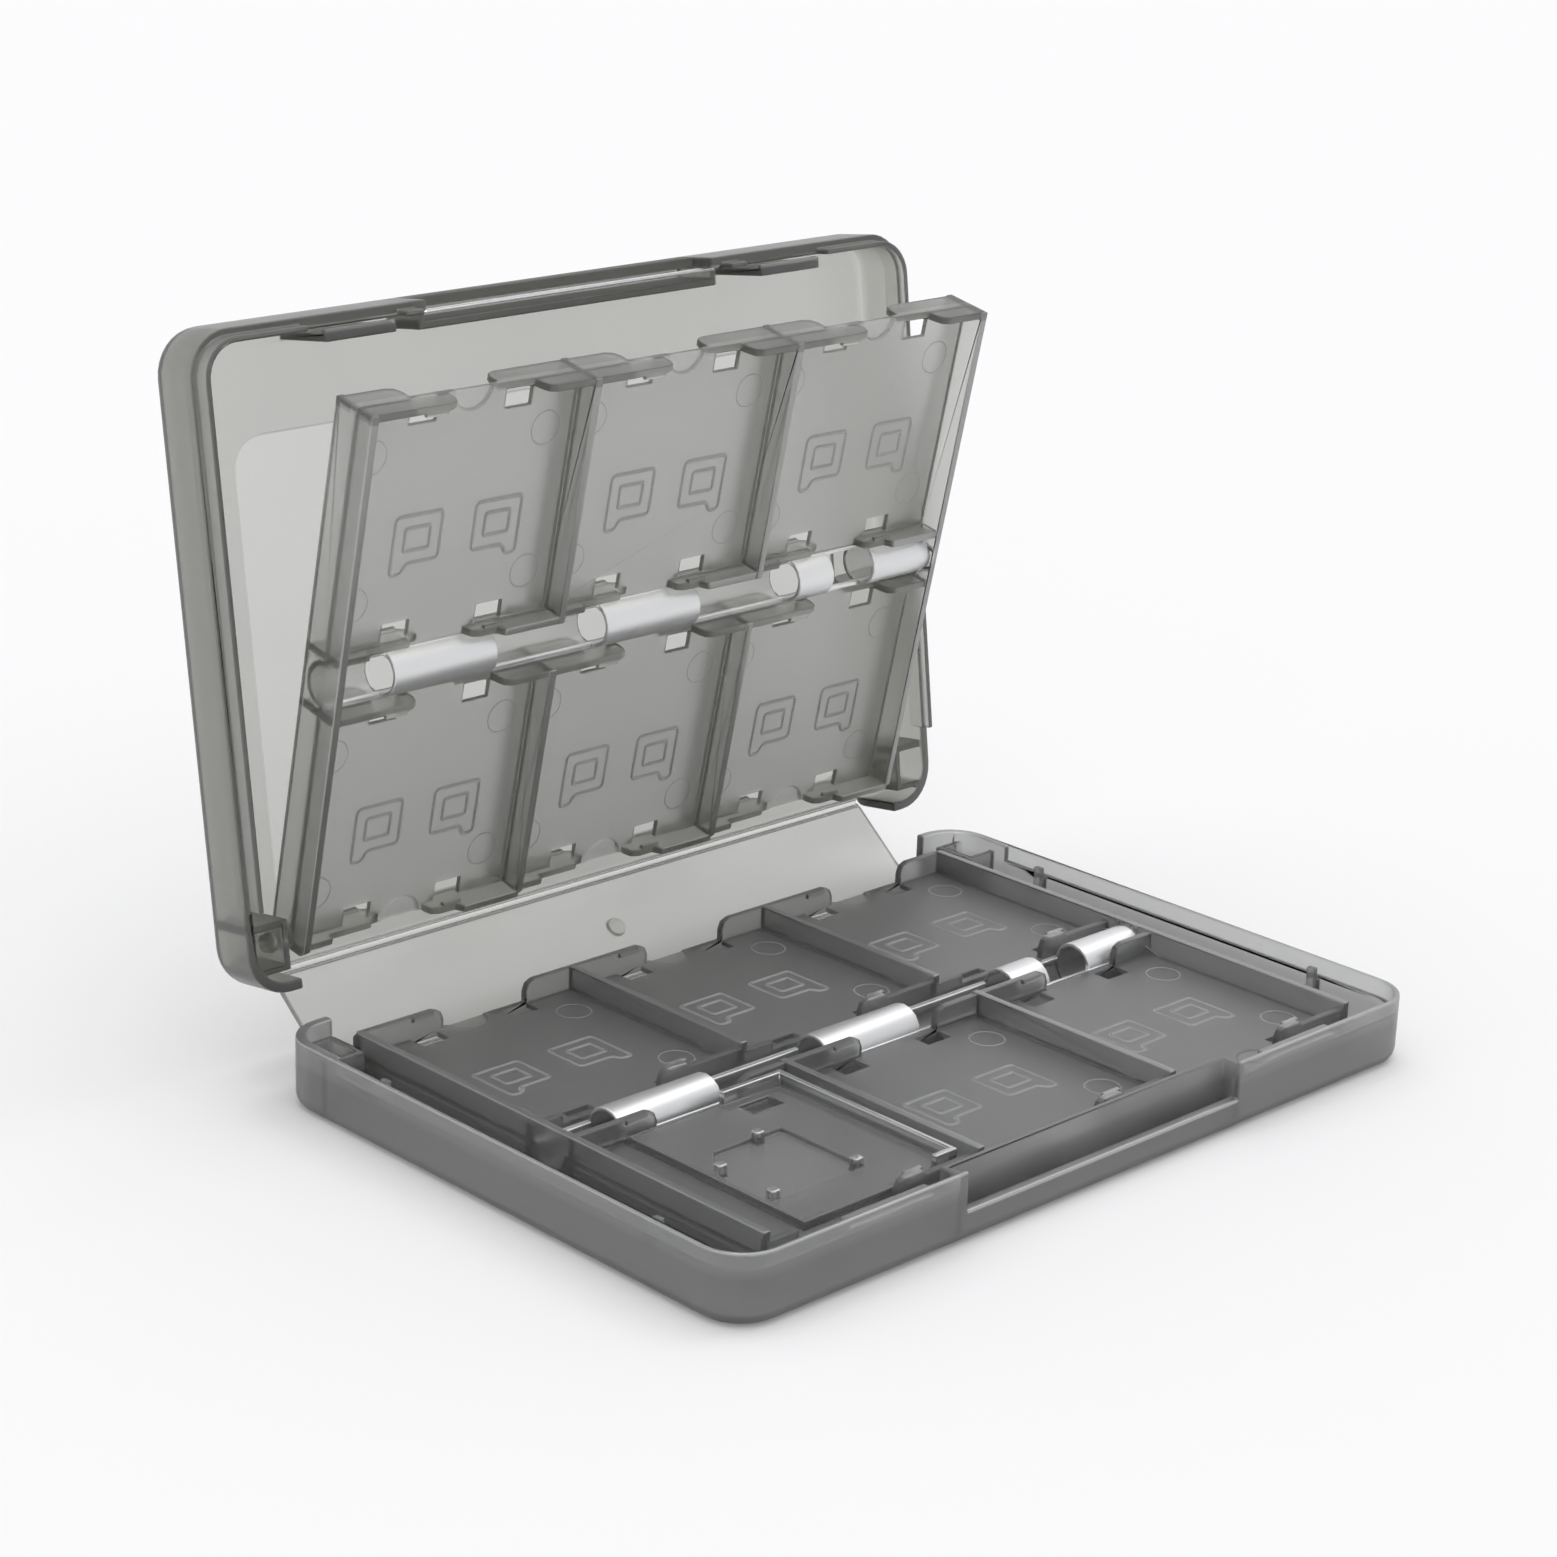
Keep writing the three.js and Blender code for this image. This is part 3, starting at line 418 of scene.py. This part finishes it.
def grid_mesh(name, grids, ring):
    """One mesh from arrays of points [row, point, xyz]: quads between rows, each row a closed loop.

    Where the rows form a ring they are joined last to first, and otherwise the two ends are capped.
    """
    points = np.concatenate([rows.reshape(-1, 3) for rows in grids])
    faces = []
    first = 0
    for rows in grids:
        index = first + np.arange(rows.shape[0] * rows.shape[1]).reshape(rows.shape[:2])
        low = index if ring else index[:-1]
        high = np.roll(index, -1, 0) if ring else index[1:]
        quads = np.stack([low, np.roll(low, -1, 1), np.roll(high, -1, 1), high], -1)
        faces += quads.reshape(-1, 4).tolist()
        faces += [] if ring else [index[0][::-1].tolist(), index[-1].tolist()]
        first += index.size
    mesh = bpy.data.meshes.new(name)
    mesh.from_pydata(points.tolist(), [], faces)
    work = bmesh.new()
    work.from_mesh(mesh)
    bmesh.ops.recalc_face_normals(work, faces=work.faces)
    work.to_mesh(mesh)
    work.free()
    mesh.shade_smooth()
    mesh.set_sharp_from_angle(angle=SHARP_ANGLE)
    return mesh


def rounded_outline(corners, reach):
    """Closed outline whose corners are parabolas.

    Each runs as (1 - u)^2 start + 2u(1 - u) corner + u^2 end, from a reach before the corner to one after.
    """
    corners = np.array(corners)
    before = np.roll(corners, 1, 0) - corners
    after = np.roll(corners, -1, 0) - corners
    start = corners + before / np.linalg.norm(before, axis=1, keepdims=True) * reach
    end = corners + after / np.linalg.norm(after, axis=1, keepdims=True) * reach
    u = np.linspace(0, 1, CORNER_STEPS)[:, None]
    curves = [(1 - u)**2 * s + 2 * u * (1 - u) * c + u**2 * e for s, c, e in zip(start, corners, end)]
    return np.concatenate(curves)


def bead(path, half_width, height):
    """A raised line: one wave of a cosine with its flat underside just in the sheet, carried round a path.

    With s from 1 to -1 across the line, a point is path + half width * s across the path, and
    height * (1 + cos(pi * s)) / 2 above the underside.
    """
    along = np.roll(path, -1, 0) - np.roll(path, 1, 0)
    along /= np.linalg.norm(along, axis=1, keepdims=True)
    across = np.stack([along[:, 1], -along[:, 0]], -1)
    s = np.linspace(1, -1, BEAD_STEPS)
    rows = np.empty((len(path), len(s), 3))
    rows[:, :, :2] = path[:, None] + across[:, None] * half_width * s[:, None]
    rows[:, :, 2] = height * (1 + np.cos(math.pi * s)) / 2 - BEAD_SINK
    return rows


def card_mark(side, tab_way):
    """Two outlines of one mark: a card with a tab at one corner, and the square label inside it."""
    w, h, (tab_w, tab_l) = MARK_HALF_WIDTH, MARK_HALF_LENGTH, MARK_TAB
    card = [(w, h), (-w, h), (-w, -h - tab_l), (tab_w - w - tab_l / 3, -h - tab_l), (tab_w - w, -h), (w, -h)]
    label_w = w - MARK_INSET
    label_h = h - MARK_INSET
    label = [(label_w, label_h), (-label_w, label_h), (-label_w, -label_h), (label_w, -label_h)]
    outlines = [rounded_outline(card, MARK_CORNER), rounded_outline(label, MARK_CORNER / 2)]
    return [outline * (side, tab_way) for outline in outlines]


def leaf_relief(body, material, left_marks, right_marks, row_shift, tab_way, covered):
    """Moulded marks on a leaf's shown face: two card marks and four faint ejector rings in each cell.

    A cell that is covered, given by its row and column, has none.
    """
    turn = np.linspace(0, 2 * math.pi, RING_STEPS, endpoint=False)
    ring = RING_RADIUS * np.stack([np.cos(turn), np.sin(turn)], -1)
    beads = []
    for row, middle in enumerate(ROWS):
        for column, centre in enumerate(COLUMNS):
            if (row, column) in covered:
                continue
            for side, shift in ((1, left_marks), (-1, right_marks)):
                place = (centre + shift, middle + row_shift)
                beads += [bead(outline + place, *MARK_BEAD) for outline in card_mark(side, tab_way)]
            for x in RING_ACROSS:
                beads += [bead(ring + (centre + x, middle + v), *RING_BEAD) for v in RING_ALONG]
    pivot, along, out = leaf_axes(body)
    placed = []
    for rows in beads:
        flat = rows[:, :, 1:2] * along + (rows[:, :, 2:] + WEB_HALF) * out + pivot
        flat[:, :, 0] += rows[:, :, 0]
        placed.append(flat)
    piece = add_object(body + "_marks", grid_mesh(body + "_marks", placed, True), material)
    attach(piece, body)


def hinge_strip(node, material, crease, tilts):
    """Living hinge: a strip that is as thick as the panels at its edges and thin at the crease.

    With s from -1 to 1 across the strip, the middle line turns from one panel's direction to the other's,
    with angle a + (b - a) * smoothstep; thickness is crease + (panel - crease) * s ^ 2. The closed section
    is carried along the hinge from side to side.
    """
    s = np.linspace(-1, 1, STRIP_STEPS)
    ramp = np.clip((s + STRIP_BEND) / (2 * STRIP_BEND), 0, 1)
    turn = tilts[0] + (tilts[1] - tilts[0]) * ramp * ramp * (3 - 2 * ramp)
    step = np.stack([np.cos(turn), np.sin(turn)], -1) * STRIP_REACH * (s[1] - s[0])
    line = np.cumsum(step, 0) - step / 2
    line = line - line[STRIP_STEPS // 2]
    across = np.stack([-np.sin(turn), np.cos(turn)], -1)
    half = (STRIP_CREASE + (PANEL_THICKNESS - STRIP_CREASE) * s**2)[:, None] / 2
    section = np.concatenate([line - across * half, (line + across * half)[::-1]]) + np.array(crease)
    sides = np.array([-STRIP_HALF_WIDTH, STRIP_HALF_WIDTH])
    rows = np.empty((2, len(section), 3))
    rows[:, :, 0] = sides[:, None]
    rows[:, :, 1:] = section
    piece = add_object(node + "_strip", grid_mesh(node + "_strip", [rows], False), material)
    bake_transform(piece)
    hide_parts(node)


def camera():
    """The photographer's camera: turned by azimuth, elevation and roll, and set back along its own axes."""
    azimuth, elevation, roll = (math.radians(a) for a in (VIEW_AZIMUTH, VIEW_ELEVATION, VIEW_ROLL))
    back = np.array([-math.sin(azimuth) * math.cos(elevation),
                     -math.cos(azimuth) * math.cos(elevation),
                     math.sin(elevation)])
    level = np.array([math.cos(azimuth), -math.sin(azimuth), 0])
    upright = np.cross(back, level)
    right = math.cos(roll) * level + math.sin(roll) * upright
    up = math.cos(roll) * upright - math.sin(roll) * level
    turned = np.stack([right, up, back], -1)
    data = bpy.data.cameras.new("camera")
    data.sensor_width = SENSOR_WIDTH
    data.lens = SENSOR_WIDTH * FOCAL_PIXELS / PHOTO_SIDE
    data.shift_x = 0.5 - AXIS_PIXEL[0] / PHOTO_SIDE
    data.shift_y = AXIS_PIXEL[1] / PHOTO_SIDE - 0.5
    data.clip_start = NEAREST
    shot = bpy.data.objects.new("camera", data)
    shot.matrix_world = Matrix.Translation(turned @ np.array(VIEW_OFFSET)) @ Matrix(turned.tolist()).to_4x4()
    bpy.context.scene.collection.objects.link(shot)
    bpy.context.scene.camera = shot


def studio():
    """Pale floor, even sky and two broad lamps."""
    bpy.context.scene.view_settings.view_transform = "Standard"
    paper, wire = empty_material("pale_paper")
    matt = wire.node("ShaderNodeBsdfDiffuse", None, {"Color": PAPER})
    wire.node("ShaderNodeOutputMaterial", None, {"Surface": matt})
    corners = [(-1, -1), (1, -1), (1, 1), (-1, 1)]
    mesh = bpy.data.meshes.new("floor")
    mesh.from_pydata([(x * FLOOR_HALF, y * FLOOR_HALF, FLOOR_Z) for x, y in corners], [], [(0, 1, 2, 3)])
    add_object("floor", mesh, paper)

    world = bpy.data.worlds.new("studio")
    world.use_nodes = True
    world.node_tree.nodes.clear()
    wire = Wire(world.node_tree)
    sky = wire.node("ShaderNodeBackground", None, {"Color": SKY_COLOUR, "Strength": SKY_STRENGTH})
    wire.node("ShaderNodeOutputWorld", None, {"Surface": sky})
    bpy.context.scene.world = world

    for name, energy, spread, lean in LAMPS:
        lamp = bpy.data.lights.new(name, "SUN")
        lamp.energy = energy
        lamp.angle = math.radians(spread)
        lit = bpy.data.objects.new(name, lamp)
        lit.rotation_euler = [math.radians(a) for a in lean]
        bpy.context.scene.collection.objects.link(lit)


# Plastics: name, density, tint, roughness, grain, haze, share of lamp light that passes, and detail, which
# paints shade, highlights or sheen on some
BASE = smoky_plastic("smoky_base", 330, GREY, 0.34, 0.2, 0.13, 0.2, base_painted_shade_and_highlights)
LID = smoky_plastic("smoky_lid", 390, WARM, 0.34, 0.15, 0.08, 0.95, lid_thumb_painted_shade)
SPINE = smoky_plastic("smoky_spine", 240, WARM, 0.34, 0.15, 0.06, 0.95)
STRIP = smoky_plastic("smoky_hinge", 400, WARM, 0.15, 0.05, 0.03, 0.95)
TRAY = smoky_plastic("smoky_tray", 300, GREY, 0.2, 0.1, 0.1, 0.95, tray_painted_highlights)
UPPER_LEAF = smoky_plastic("smoky_upper_leaf", 245, WARM, 0.32, 0.3, 0.05, 0.95, upper_leaf_face)
LOWER_LEAF = smoky_plastic("smoky_lower_leaf", 500, GREY, 0.32, 0.3, 0.09, 0.9, lower_leaf_face)

moulding("base_shell", BASE, SHELL_ROUNDING)
moulding("lid_shell", LID, SHELL_ROUNDING)
moulding("spine", SPINE, SHELL_ROUNDING)
moulding("upper_leaf", UPPER_LEAF, LEAF_ROUNDING)
moulding("lower_leaf", LOWER_LEAF, LEAF_ROUNDING)
moulding("memory_card_tray", TRAY, LEAF_ROUNDING)
leaf_relief(
    "upper_leaf", UPPER_LEAF,
    left_marks=-6.9 * MM, right_marks=7.9 * MM, row_shift=-2.5 * MM, tab_way=1, covered=(),
)
leaf_relief(
    "lower_leaf", LOWER_LEAF,
    left_marks=-8.4 * MM, right_marks=6 * MM, row_shift=1.2 * MM, tab_way=-1, covered=((1, 0),),
)

base_crease = JOINTS["base_hinge"][1:]
lid_crease = JOINTS["lid_hinge"][1:]
hinge_strip("base_hinge_web", STRIP, base_crease, (0, SPINE_TILT))
hinge_strip("lid_hinge_web", STRIP, lid_crease, (SPINE_TILT, LID_TILT))

studio()
camera()
